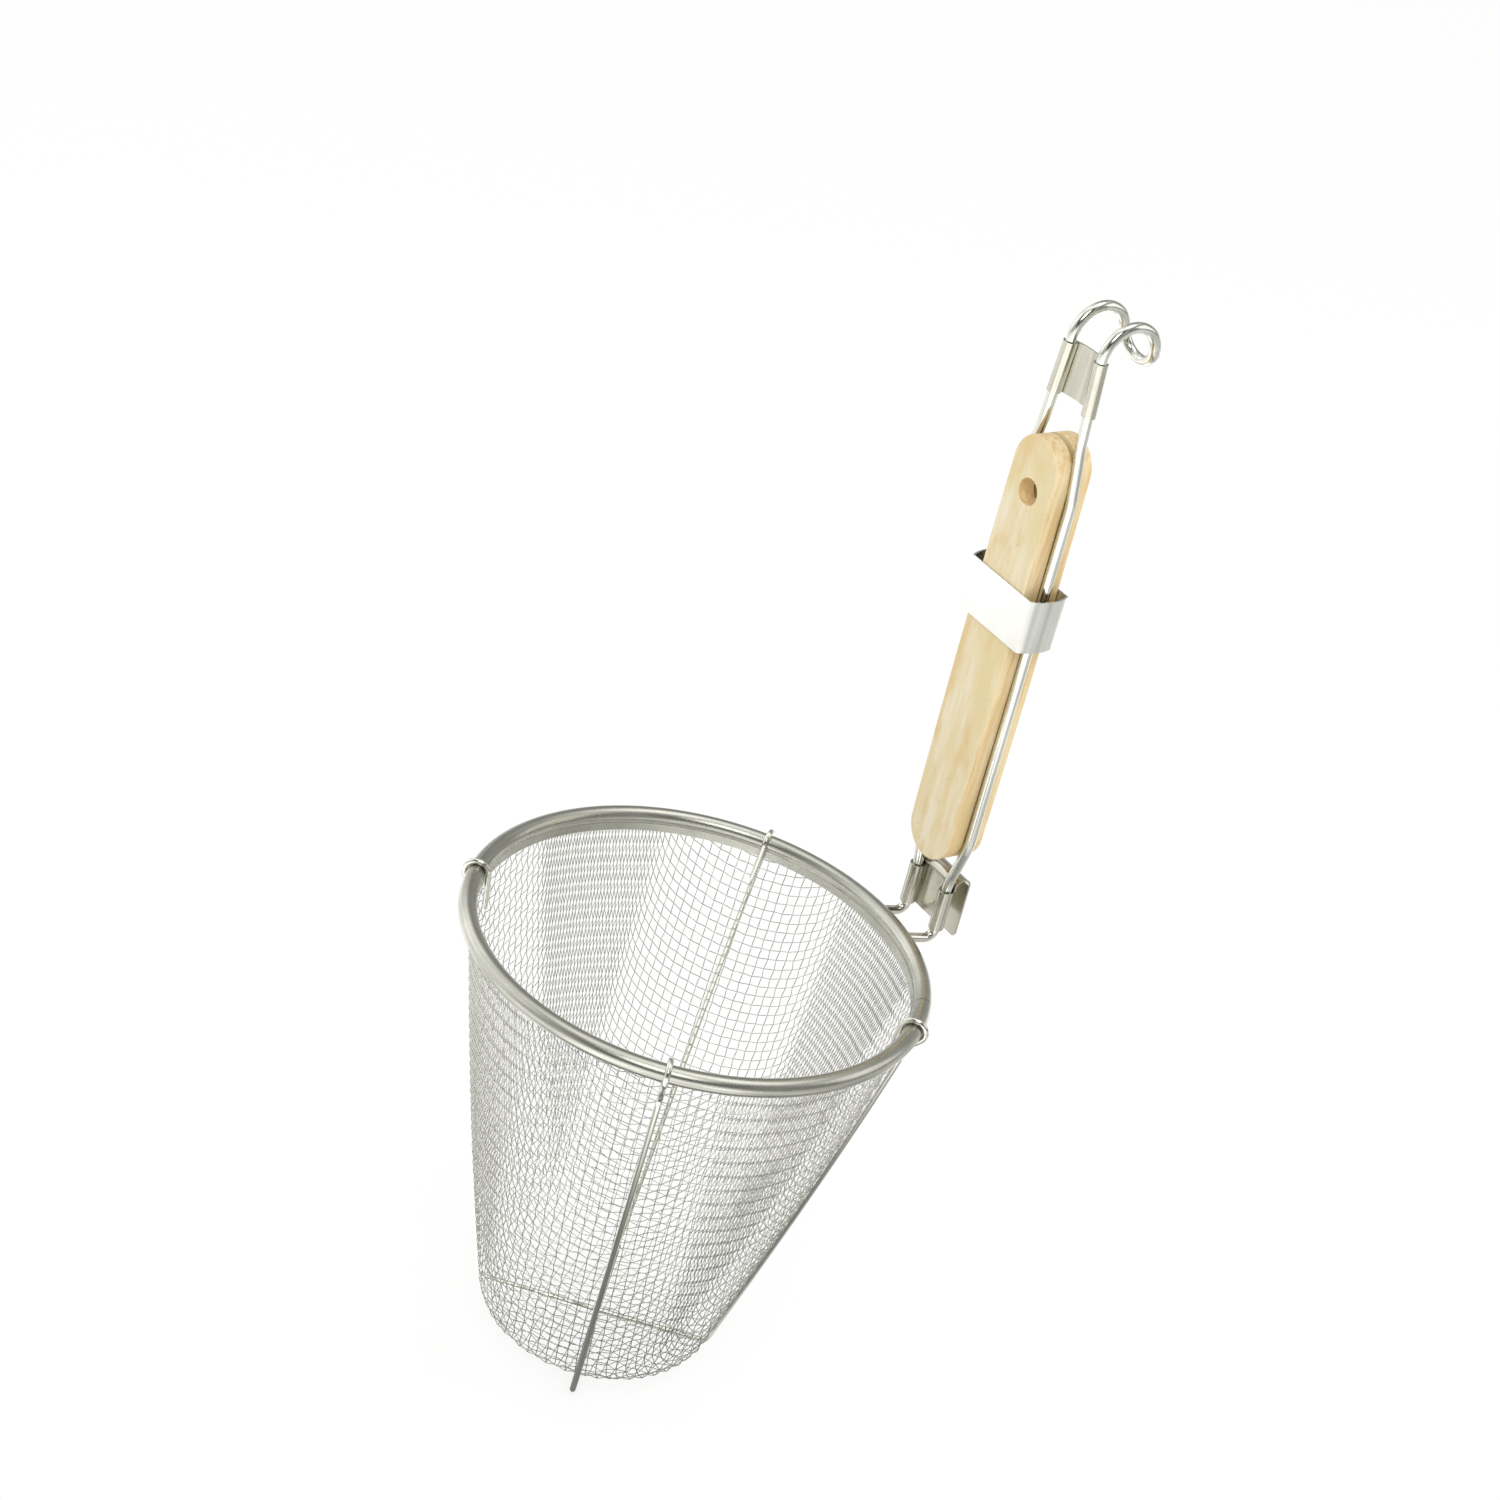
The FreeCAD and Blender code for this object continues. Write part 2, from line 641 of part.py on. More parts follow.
def build_bracket():
    body = new_body("pot_hook_bracket")
    sheet_metal = size("bracket_sheet")
    tubes = new_sketch(body, "tube_section", "XY_Plane")
    tube_pair_outline(tubes, size("foot_spacing"), tube_bore, tube_outside, None)
    for sign in (1, -1):
        draw_circle(tubes, 0, size("foot_spacing") / 2 * sign, tube_bore)
    raise_sketch(tubes, size("bracket_foot"))
    pad(body, tubes, "tubes", size("bracket_top") - size("bracket_foot"))
    fold = new_sketch(body, "fold_section", "XZ_Plane")
    bend = size("fold_start")
    far = tube_outside + size("pot_slot")
    draw_outline(fold, [
        (tube_bore, size("bracket_top"), straight()),
        (tube_bore, bend, arc(slot_middle, seat_height + sheet_metal, "y", bend)),
        (far + sheet_metal, bend, straight()),
        (far + sheet_metal, size("flap_foot"), straight()),
        (far, size("flap_foot"), straight()),
        (far, bend, arc(slot_middle, seat_height, "y", bend)),
        (tube_outside, bend, straight()),
        (tube_outside, size("bracket_top"), straight()),
    ])
    flap = pad(body, fold, "fold_and_flap", size("flap_width"), symmetric=True)
    doc.recompute()
    foot_z = number("flap_foot")
    corner_edges = []
    for index, edge in enumerate(flap.Shape.Edges, start=1):
        ends = [vertex.Point for vertex in edge.Vertexes]
        if len(ends) == 2 and all(abs(point.z - foot_z) < 1e-6 for point in ends):
            if abs(ends[0].y - ends[1].y) < 1e-6 and abs(ends[0].x - ends[1].x) > 1e-6:
                corner_edges.append("Edge%d" % index)
    rounded = body.newObject("PartDesign::Fillet", "flap_rounding")
    rounded.Base = (flap, corner_edges)
    rounded.Radius = number("flap_corner")
    rounded.setExpression("Radius", "sizes.flap_corner")
    body.Placement = HANDLE
    return body


# Wooden slabs on both sides of the wires

def build_slab(label, side):
    body = new_body(label)
    outline = new_sketch(body, label + "_outline", "YZ_Plane")
    half = size("slab_end_width") / 2
    foot = size("slab_foot") + half
    top = slab_top - half
    swell = size("slab_swell")
    run_half = (top - foot) / 2
    middle = (top + foot) / 2
    swell_radius = (run_half * run_half + swell * swell) / (swell * 2)
    centre = half + swell - swell_radius
    draw_outline(outline, [
        (half, foot, arc(half + swell, middle, "x", centre)),
        (half, top, arc(0, slab_top, "y", top)),
        (-half, top, arc(-half - swell, middle, "x", -centre)),
        (-half, foot, arc(0, size("slab_foot"), "y", foot)),
    ])
    raise_sketch(outline, size("slab_gap") / 2 * side)
    board = size("slab_reach") - size("slab_gap") / 2
    wood = pad(body, outline, label + "_board", board, reverse=side < 0)
    doc.recompute()
    outer_x = side * number("slab_reach")
    rim_edges = []
    for index, edge in enumerate(wood.Shape.Edges, start=1):
        if all(abs(vertex.X - outer_x) < 1e-6 for vertex in edge.Vertexes):
            rim_edges.append("Edge%d" % index)
    rounded = body.newObject("PartDesign::Fillet", label + "_rounding")
    rounded.Base = (wood, rim_edges)
    rounded.Radius = number("slab_round")
    rounded.setExpression("Radius", "sizes.slab_round")
    doc.recompute()
    hole = new_sketch(body, label + "_hole", "YZ_Plane")
    draw_circle(hole, 0, slab_top - size("hole_inset"), size("hole_radius"))
    pocket(body, hole, label + "_hang_hole", size("slab_reach") * 3, symmetric=True)
    body.Placement = HANDLE
    return body


# Band round slabs and wires

def build_band():
    body = new_body("slab_band")
    section = new_sketch(body, "band_section", "XY_Plane")
    swell = size("band_swell")
    for thickness in (size("band_sheet"), as_size(0)):
        half = size("band_spacing") / 2 + thickness
        deep = size("slab_reach") + size("touch_gap") + thickness
        radius = (deep * deep + swell * swell) / (swell * 2)
        centre = half + swell - radius
        draw_outline(section, [
            (-deep, -half, straight()),
            (-deep, half, arc(0, half + swell, "y", centre)),
            (deep, half, straight()),
            (deep, -half, arc(0, -half - swell, "y", -centre)),
        ])
    raise_sketch(section, band_foot)
    pad(body, section, "band_sleeve", size("band_height"))
    body.Placement = HANDLE
    return body


# Clip under the hook: tubes that close in as the wires do, with a dished web behind

def wire_spacing_at(height):
    """Distance between the wires where they run from the neck to the hook."""
    share = (height - neck_height) / (hook_start - size("hook_lead") - neck_height)
    return size("neck_spacing") - (size("neck_spacing") - size("hook_spacing")) * share


def build_clip():
    body = new_body("top_clip_blank")
    bore = wire_half + size("clip_clearance")
    outside = bore + size("clip_sheet")
    sections = []
    for name, height in (("clip_lower_section", clip_foot), ("clip_upper_section", clip_top)):
        sketch = new_sketch(body, name, "XY_Plane")
        tube_pair_outline(sketch, wire_spacing_at(height), bore, outside, size("clip_dish"))
        raise_sketch(sketch, height)
        sections.append(sketch)
    loft = body.newObject("PartDesign::AdditiveLoft", "clip_blank")
    loft.Profile = sections[0]
    loft.Sections = [sections[1]]
    loft.Ruled = True
    body.Placement = HANDLE
    return body


rim_band = build_rim_band()
mesh_basket = build_mesh_basket()
cross_edges = support_edges(number("cross_wire_angle"), number("cross_wire_span_angle"), 0)
upper_support = sweep_wire("support_wire_cross", cross_edges, "support_wire")
under_edges = support_edges(
    number("under_wire_angle"), number("under_wire_span_angle"), number("support_wire"))
lower_support = sweep_wire("support_wire_under", under_edges, "support_wire")
long_wire = sweep_wire("handle_wire_blank", handle_edges(), "handle_wire")
handle_wire = cut("handle_wire", long_wire, rim_band)
groove_tool = sweep_wire("groove_tool", handle_edges(), "handle_wire", "groove_clearance")
clip_tool = sweep_wire("clip_tool", handle_edges(), "handle_wire", "clip_clearance")
bracket = build_bracket()
front_slab = cut("front_slab", build_slab("front_slab_blank", -1), groove_tool)
rear_slab = cut("rear_slab", build_slab("rear_slab_blank", 1), groove_tool)
band = build_band()
top_clip = cut("top_clip", build_clip(), clip_tool)
doc.recompute()

NODES = [rim_band, mesh_basket, upper_support, lower_support, handle_wire, bracket,
         front_slab, rear_slab, band, top_clip]

for item in doc.Objects:
    if "Invalid" in item.State or "Error" in item.State:
        raise RuntimeError("%s failed to build" % item.Label)
for node in NODES:
    if node.Shape.isNull() or not node.Shape.isValid():
        raise RuntimeError("%s has no valid shape" % node.Label)

os.makedirs("parts", exist_ok=True)
for node in NODES:
    node.Shape.exportStep("parts/%s.step" % node.Label)
    print("%-22s solids %d volume %.1f" % (node.Label, len(node.Shape.Solids), node.Shape.Volume))
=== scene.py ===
import math
import random

import bpy
from mathutils import Matrix, Vector


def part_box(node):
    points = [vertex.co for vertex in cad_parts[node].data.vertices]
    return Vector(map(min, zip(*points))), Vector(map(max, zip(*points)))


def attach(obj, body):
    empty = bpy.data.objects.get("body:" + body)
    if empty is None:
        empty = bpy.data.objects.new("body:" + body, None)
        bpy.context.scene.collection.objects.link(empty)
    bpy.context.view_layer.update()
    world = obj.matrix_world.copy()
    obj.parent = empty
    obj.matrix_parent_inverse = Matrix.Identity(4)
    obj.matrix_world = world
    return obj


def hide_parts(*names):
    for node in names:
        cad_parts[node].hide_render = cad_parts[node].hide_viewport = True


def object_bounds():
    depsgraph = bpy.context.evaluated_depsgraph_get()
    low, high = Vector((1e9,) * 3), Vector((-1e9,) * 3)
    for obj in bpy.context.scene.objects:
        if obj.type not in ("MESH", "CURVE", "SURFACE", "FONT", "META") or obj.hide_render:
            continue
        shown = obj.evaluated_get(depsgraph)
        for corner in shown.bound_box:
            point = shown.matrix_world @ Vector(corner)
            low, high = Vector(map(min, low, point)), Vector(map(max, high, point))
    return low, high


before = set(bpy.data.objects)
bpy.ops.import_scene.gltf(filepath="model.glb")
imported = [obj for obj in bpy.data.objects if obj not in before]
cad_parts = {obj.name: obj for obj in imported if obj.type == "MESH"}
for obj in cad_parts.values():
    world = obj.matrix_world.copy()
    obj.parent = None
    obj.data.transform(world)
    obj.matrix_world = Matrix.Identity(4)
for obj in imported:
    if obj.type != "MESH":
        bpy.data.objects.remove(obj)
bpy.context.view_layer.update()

# Blanching basket for noodles: deep-drawn wire cloth in a folded rim, hung by a bracket
# on a bent wire handle with two beech slabs. Sizes are in millimetres until they are
# built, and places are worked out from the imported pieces.

MM = 0.001

# Wire cloth
CLOTH_WIRE = 0.28           # diameter of its wires
CRIMP = 0.31                # how far a wire swings to each side where it crosses others
CLOTH_PITCH = 3.15          # from wire to wire where the cloth isn't sheared
CLOTH_THICKNESS = 1.0       # between the two faces of the solid that it replaces
WALL_ANGLE = math.radians(12.745)
BASE_CORNER = 10.0          # outside radius between wall and bottom
BASE_RADIUS = 35.7          # wall line met with the bottom plane
WALL_BULGE = 1.0            # how far the wall swells half way up
RIM_FOLD_DEPTH = 5.0        # how far under the rim's top the wires end
WEAVE_TURN = math.radians(38.5)     # where the straight wires run down the wall
WIRE_STEPS = 3              # points on a wire from one crossing to the next
WIRE_SIDES = 5
CLOTH_WANDER = 0.10         # how far a crossing strays from its place
WANDER_SEED = 11
SPARE_ROWS = 2              # rows of crossings that are solved past the rim's fold
CROSSING_TRIES = 20         # steps of Newton's method at most
CROSSING_MISS = 1e-8        # square millimetres that a crossing may be off
SLOPE_STEP = 1e-4           # how far apart two points stand to measure the surface's slope

# Support wires
SUPPORT_WIRE = 1.8
SUPPORT_GAP = 0.05          # air between a wire and what it rests on
SUPPORT_SIDES = 16
# Where each end stands round the basket, in degrees: at the rim and at the foot
SUPPORT_PLACES = {
    "support_wire_cross": ((135, 135), (307, 321)),
    "support_wire_under": ((38, 44), (230, 230)),
}
FREE_END = 13.5             # how far under the rim's top a wire ends inside
BEAD_RADIUS = 2.7
RIM_STRIP = 0.6             # thickness of the rim's strip
BEAD_LEAVE = math.radians(-38)      # where a wire leaves the bead for the wall
BEAD_STEPS = 28             # points of a wire round the bead
TIGHT_BEND = 2.5            # from a bend's corner to where the wire is straight
BEND_STEPS = 8
WALL_AIM = 20.0             # the bend onto the wall is drawn towards a point this far down it

# Joint of the rim's strip
RIM_JOINT = math.radians(319)
RIM_JOINT_WIDTH = 0.25

# Camera, measured from the photograph
CAMERA_PLACE = Vector((-605.35, -580.5, 478.2))
CAMERA_TARGET = Vector((-77.45, 13.5, 42.1))
CAMERA_ROLL = 0.2802
CAMERA_LENS = 76.45
CAMERA_SENSOR = 36.0
CAMERA_REACH = 100.0        # metres

# Sides of the studio, seen from the basket
CAMERA_SIDE = Vector((-0.66, -0.75, 0.0))
UNLIT_SIDE = Vector((0.67, -0.74, 0.0))

# White paper on the table, as it is
PAPER_GAP = 1.0             # air between the lowest wire and the paper
PAPER_WIDTH = 12000.0
PAPER_LIT = 0.75            # share of its white that no shadow takes
PAPER_WHITE = 1.045         # brightness of that share

# The same paper as the steel shows it. A spread is two cosines: where a side starts, and is full
MIRRORED_LIT = 0.88         # share of its white that no shadow takes
PAPER_EDGE = 900.0          # how far it is bright
PAPER_BRIGHT = 1.5
PAPER_FAR = 1.1             # brightness past its edge
FOOT_SHADE = 95.0           # how far it stays dark round the basket's foot
FOOT_DARK = 0.12
FOOT_SPREAD = (0.2, 0.7)    # the foot's shade falls towards the camera
UNLIT_DARK = 0.55
UNLIT_SPREAD = (0.5, 0.95)
TABLE_BRIGHT = 1.5          # how much brighter it is in front of the basket
TABLE_SPREAD = (0.6, 0.9)
PAPER_SPOTS = (160.0, 0.55, 1.3)    # size, least and most brightness of its uneven areas

# The studio's walls and lamps as the steel shows them
ROOM_LEVEL = 0.5            # plain walls
ROOM_LIGHT = 0.85           # what they shed on everything
# Direction, spread and brightness
SOFTBOXES = (
    ((0.0, 0.0, 1.0), (0.80, 0.95), 1.8),           # ceiling
    ((-0.45, 0.79, 0.42), (0.70, 0.92), 1.5),       # left wall
    ((-0.66, -0.75, -0.09), (0.80, 0.95), 1.5),     # table in front
)
DARK_PLACES = (
    ((-0.51, -0.57, 0.64), (0.75, 0.89), 0.07),     # the camera and the dark room behind it
    (UNLIT_SIDE, UNLIT_SPREAD, 0.5),
)
ROOM_SPOTS = (0.35, 0.7, 1.3)       # size as a share of its distance, least and most brightness
SPOT_EDGE = (0.38, 0.62)            # how soft the uneven areas end

# Lamps: place and watts
LAMPS = {
    "key_lamp": ((-900, -900, 1500), 9.0),
    "fill_lamp": ((1100, -700, 700), 3.0),
}
LAMP_WIDTH = 900.0


def linear(hex_colour):
    """An sRGB hex colour as linear RGBA."""
    values = [int(hex_colour[at:at + 2], 16) / 255 for at in (1, 3, 5)]
    return [v / 12.92 if v <= 0.04045 else ((v + 0.055) / 1.055) ** 2.4 for v in values] + [1.0]


def add_node(tree, kind, settings=(), inputs=()):
    """Add a node, set its properties and fill its inputs. A node given as an input is linked
    by its first output in use."""
    made = tree.nodes.new(kind)
    for name, value in dict(settings).items():
        setattr(made, name, value)
    for key, value in dict(inputs).items():
        if isinstance(value, bpy.types.Node):
            value = next(socket for socket in value.outputs if socket.enabled)
        if isinstance(value, bpy.types.NodeSocket):
            tree.links.new(value, made.inputs[key])
        else:
            made.inputs[key].default_value = value
    return made


def new_material(name):
    """A material without nodes, and its tree."""
    material = bpy.data.materials.new(name)
    material.use_nodes = True
    material.node_tree.nodes.clear()
    return material, material.node_tree


# Materials

def stainless_wire_cloth():
    """Drawn stainless wire, thin and nearly bright: grey, with a narrow bright line on each wire."""
    stain_size = 18.0
    material, tree = new_material("stainless_wire_cloth")
    place = add_node(tree, "ShaderNodeTexCoord").outputs["Object"]
    stain = add_node(tree, "ShaderNodeTexNoise", {}, {
        "Vector": place, "Scale": 1 / (stain_size * MM), "Detail": 3.0})
    colour = add_node(tree, "ShaderNodeMix", {"data_type": "RGBA"}, {
        0: stain, 6: linear("#B6B5AD"), 7: linear("#CBCAC2")})
    roughness = add_node(tree, "ShaderNodeMapRange", {}, {
        "Value": stain, "To Min": 0.10, "To Max": 0.16})
    steel = add_node(tree, "ShaderNodeBsdfPrincipled", {}, {
        "Base Color": colour, "Metallic": 1.0, "Roughness": roughness})
    add_node(tree, "ShaderNodeOutputMaterial", {}, {"Surface": steel})
    return material


def satin_stainless(name, light, dark, roughness, mark_size, mark_height):
    """Stainless steel with marks of drawing or rolling and faint stains: a soft, broad shine.
    The marks are drawn coarser than real ones, so that they show."""
    stain_size = 9.0
    uneven_shine = 0.06
    material, tree = new_material(name)
    place = add_node(tree, "ShaderNodeTexCoord").outputs["Object"]
    stain = add_node(tree, "ShaderNodeTexNoise", {}, {
        "Vector": place, "Scale": 1 / (stain_size * MM), "Detail": 4.0})
    marks = add_node(tree, "ShaderNodeTexNoise", {}, {
        "Vector": place, "Scale": 1 / (mark_size * MM), "Detail": 2.0})
    colour = add_node(tree, "ShaderNodeMix", {"data_type": "RGBA"}, {
        0: stain, 6: linear(dark), 7: linear(light)})
    shine = add_node(tree, "ShaderNodeMapRange", {}, {
        "Value": marks, "To Min": roughness - uneven_shine, "To Max": roughness + uneven_shine})
    bump = add_node(tree, "ShaderNodeBump", {}, {
        "Height": marks, "Distance": mark_height * MM, "Strength": 1.0})
    steel = add_node(tree, "ShaderNodeBsdfPrincipled", {}, {
        "Base Color": colour, "Metallic": 1.0, "Roughness": shine, "Normal": bump})
    add_node(tree, "ShaderNodeOutputMaterial", {}, {"Surface": steel})
    return material


def drawn_wire():
    """Stainless wire drawn bright: it shines in narrow lines."""
    return satin_stainless("drawn_stainless_wire", light="#E2E2D9", dark="#CCCCC2",
                           roughness=0.15, mark_size=0.35, mark_height=0.002)


def rolled_sheet():
    """Stainless sheet as rolled: flat and pale, it shows the white paper as a white face."""
    return satin_stainless("rolled_stainless_sheet", light="#EAEAE4", dark="#D6D6CE",
                           roughness=0.20, mark_size=0.6, mark_height=0.003)


def shade_darkened_sheet():
    """Stainless sheet folded and rolled into tubes: warmer than flat sheet, and painted darker as
    shade.
    """
    return satin_stainless("shade_darkened_stainless_sheet", light="#CFCCBF", dark="#B4B1A3",
                           roughness=0.20, mark_size=0.6, mark_height=0.004)


def brushed_rim_strip():
    """Brushed stainless strip, grey and soft, with a thin dark joint where its two ends meet."""
    material = satin_stainless("brushed_rim_strip", light="#C7C7BD", dark="#ABABA1",
                               roughness=0.29, mark_size=0.5, mark_height=0.004)
    tree = material.node_tree
    place = add_node(tree, "ShaderNodeTexCoord").outputs["Object"]
    turned = add_node(tree, "ShaderNodeMapping", {"vector_type": "TEXTURE"}, {
        "Vector": place, "Location": BasketSurface().axis * MM, "Rotation": (0, 0, RIM_JOINT)})
    parts = add_node(tree, "ShaderNodeSeparateXYZ", {}, {0: turned})
    off = add_node(tree, "ShaderNodeMath", {"operation": "ABSOLUTE"}, {0: parts.outputs["Y"]})
    near = add_node(tree, "ShaderNodeMath", {"operation": "LESS_THAN"}, {
        0: off, 1: RIM_JOINT_WIDTH * MM / 2})
    ahead = add_node(tree, "ShaderNodeMath", {"operation": "GREATER_THAN"}, {
        0: parts.outputs["X"], 1: 0.0})
    joint = add_node(tree, "ShaderNodeMath", {"operation": "MULTIPLY"}, {0: near, 1: ahead})
    steel = next(node for node in tree.nodes if node.type == "BSDF_PRINCIPLED")
    plain = steel.inputs["Base Color"].links[0].from_socket
    colour = add_node(tree, "ShaderNodeMix", {"data_type": "RGBA"}, {
        0: joint, 6: plain, 7: linear("#4A463E")})
    tree.links.new(colour.outputs[2], steel.inputs["Base Color"])
    return material


def planed_beech():
    """Bare beech, planed: matt cream with faint grain along the grip, and short pore flecks.
    The flecks are drawn wider than real pores, so that they show."""
    grain_lean = math.radians(2.2)
    pore_depth = 0.06
    face_cosine = 0.9
    edge_cosine = 0.5
    material, tree = new_material("planed_beech")
    place = add_node(tree, "ShaderNodeTexCoord").outputs["Object"]

    def pattern(size, stretch, detail, start, full):
        """Noise drawn out along the grip, as a share that goes from none to full."""
        along = add_node(tree, "ShaderNodeMapping", {}, {
            "Vector": place, "Rotation": (0, grain_lean, 0), "Scale": (1.0, 1.0, stretch)})
        noise = add_node(tree, "ShaderNodeTexNoise", {}, {
            "Vector": along, "Scale": 1 / (size * MM), "Detail": detail})
        return add_node(tree, "ShaderNodeMapRange", {"interpolation_type": "SMOOTHSTEP"}, {
            "Value": noise, "From Min": start, "From Max": full})

    grain = pattern(size=1.8, stretch=0.08, detail=4.0, start=0.35, full=0.70)
    cloud = pattern(size=9.0, stretch=0.4, detail=2.0, start=0.35, full=0.70)
    warm = pattern(size=6.0, stretch=0.35, detail=4.0, start=0.50, full=0.72)
    fleck = pattern(size=0.7, stretch=0.35, detail=2.0, start=0.69, full=0.78)
    mark = pattern(size=2.4, stretch=0.7, detail=4.0, start=0.68, full=0.80)

    # Painted shade: the edges and the ends, which don't face along the basket's handle, are painted a
    # darker, warmer tan than the faces
    surface = add_node(tree, "ShaderNodeNewGeometry").outputs["Normal"]
    across = add_node(tree, "ShaderNodeVectorMath", {"operation": "DOT_PRODUCT"}, {
        0: surface, 1: (1, 0, 0)})
    facing = add_node(tree, "ShaderNodeMath", {"operation": "ABSOLUTE"}, {0: across})
    edge = add_node(tree, "ShaderNodeMapRange", {}, {
        "Value": facing, "From Min": face_cosine, "From Max": edge_cosine})
    tan = add_node(tree, "ShaderNodeMix", {"data_type": "RGBA"}, {
        0: grain, 6: linear("#F2DCAE"), 7: linear("#E2BE82")})

    colour = linear("#F3E7C9")
    layers = ((grain, linear("#EBDAB0")), (cloud, linear("#E9D6A4")), (edge, tan),
              (warm, linear("#E6CB96")), (fleck, linear("#D2B27A")), (mark, linear("#B39B70")))
    for share, tone in layers:
        colour = add_node(tree, "ShaderNodeMix", {"data_type": "RGBA"}, {
            0: share, 6: colour, 7: tone})
    bump = add_node(tree, "ShaderNodeBump", {"invert": True}, {
        "Height": fleck, "Distance": pore_depth * MM, "Strength": 1.0})
    wood = add_node(tree, "ShaderNodeBsdfPrincipled", {}, {
        "Base Color": colour, "Roughness": 0.55, "Normal": bump})
    add_node(tree, "ShaderNodeOutputMaterial", {}, {"Surface": wood})
    return material


# Wire cloth: a net of equal cells laid over the basket from the middle of its bottom

def wall_swell(share):
    """How far the wall stands out at that share of its height."""
    return 4 * WALL_BULGE * share * (1 - share)


class BasketSurface:
    """The middle surface of the cloth, as radius and height by length from the bottom's centre."""

    def __init__(self):
        low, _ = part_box("mesh_basket")
        rim_low, rim_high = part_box("rim_band")
        self.axis = Vector(((rim_low[0] + rim_high[0]) / 2, (rim_low[1] + rim_high[1]) / 2, 0)) / MM
        self.rim_top = rim_high[2] / MM
        self.rim_radius = (rim_high[0] - rim_low[0]) / MM / 2
        self.bottom = low[2] / MM + CLOTH_THICKNESS / 2
        self.corner = BASE_CORNER - CLOTH_THICKNESS / 2
        self.flat = BASE_RADIUS - BASE_CORNER * math.tan((math.pi / 2 - WALL_ANGLE) / 2)
        self.bend = self.corner * (math.pi / 2 - WALL_ANGLE)
        wall_start = self.corner * (1 - math.sin(WALL_ANGLE))
        rise = self.rim_top - RIM_FOLD_DEPTH - self.bottom - wall_start
        self.wall = rise / math.cos(WALL_ANGLE)
        self.length = self.flat + self.bend + self.wall

    def profile(self, run):
        """Radius, height and the slope of the surface at that length."""
        if run <= self.flat:
            return run, self.bottom, 0.0
        if run <= self.flat + self.bend:
            turn = (run - self.flat) / self.corner
            radius = self.flat + self.corner * math.sin(turn)
            return radius, self.bottom + self.corner * (1 - math.cos(turn)), turn
        turn = math.pi / 2 - WALL_ANGLE
        past = run - self.flat - self.bend
        swell = wall_swell(min(past / self.wall, 1.0))
        radius = self.flat + self.corner * math.sin(turn) + past * math.cos(turn) + swell
        height = self.bottom + self.corner * (1 - math.cos(turn)) + past * math.sin(turn)
        return radius, height, turn

    def point(self, run, azimuth):
        """The place at that length and angle, with the basket's axis as its origin."""
        radius, height, _ = self.profile(run)
        return Vector((radius * math.cos(azimuth), radius * math.sin(azimuth), height))

    def outward(self, run, azimuth):
        """The direction that points out of the basket there."""
        _, _, turn = self.profile(run)
        return Vector((math.sin(turn) * math.cos(azimuth), math.sin(turn) * math.sin(azimuth),
                       -math.cos(turn)))


def next_crossing(surface, left, right, guess):
    """The place one pitch from both neighbours, found by Newton's method."""
    first = surface.point(*left)
    second = surface.point(*right)
    run, azimuth = guess
    step = SLOPE_STEP
    for _ in range(CROSSING_TRIES):
        here = surface.point(run, azimuth)
        miss_first = (here - first).length_squared - CLOTH_PITCH ** 2
        miss_second = (here - second).length_squared - CLOTH_PITCH ** 2
        if abs(miss_first) + abs(miss_second) < CROSSING_MISS:
            break
        by_run = (surface.point(run + step, azimuth) - surface.point(run - step, azimuth)) / (2 * step)
        by_turn = (surface.point(run, azimuth + step) - surface.point(run, azimuth - step)) / (2 * step)
        first_by_run = 2 * (here - first).dot(by_run)
        first_by_turn = 2 * (here - first).dot(by_turn)
        second_by_run = 2 * (here - second).dot(by_run)
        second_by_turn = 2 * (here - second).dot(by_turn)
        determinant = first_by_run * second_by_turn - first_by_turn * second_by_run
        run -= (second_by_turn * miss_first - first_by_turn * miss_second) / determinant
        azimuth -= (first_by_run * miss_second - second_by_run * miss_first) / determinant
    return run, azimuth


def quarter_net(surface):
    """Crossings (column, row) to (length, azimuth) over a quarter of the basket."""
    count = int(surface.length / CLOTH_PITCH) + SPARE_ROWS + 1
    net = {(column, 0): (column * CLOTH_PITCH, 0.0) for column in range(count)}
    net.update({(0, row): (row * CLOTH_PITCH, math.pi / 2) for row in range(count)})
    limit = surface.length + SPARE_ROWS * CLOTH_PITCH
    for column in range(1, count):
        for row in range(1, count):
            left = net.get((column - 1, row))
            right = net.get((column, row - 1))
            if left is None or right is None or min(left[0], right[0]) > limit:
                break
            before = net[column - 1, row - 1]
            ahead = surface.point(*left) + surface.point(*right) - surface.point(*before)
            guess = (left[0] + right[0] - before[0], math.atan2(ahead.y, ahead.x))
            net[column, row] = next_crossing(surface, left, right, guess)
    return net


def whole_net(surface):
    """The quarter mirrored over the basket, each crossing strayed a little from its place."""
    chance = random.Random(WANDER_SEED)
    net = {}
    for (column, row), (run, azimuth) in quarter_net(surface).items():
        stray = CLOTH_WANDER / max(surface.profile(run)[0], CLOTH_PITCH)
        for side in (1, -1) if column else (1,):
            turned = azimuth if side > 0 else math.pi - azimuth
            for face in (1, -1) if row else (1,):
                net[side * column, face * row] = (
                    run + chance.uniform(-CLOTH_WANDER, CLOTH_WANDER),
                    face * turned + chance.uniform(-stray, stray))
    return net


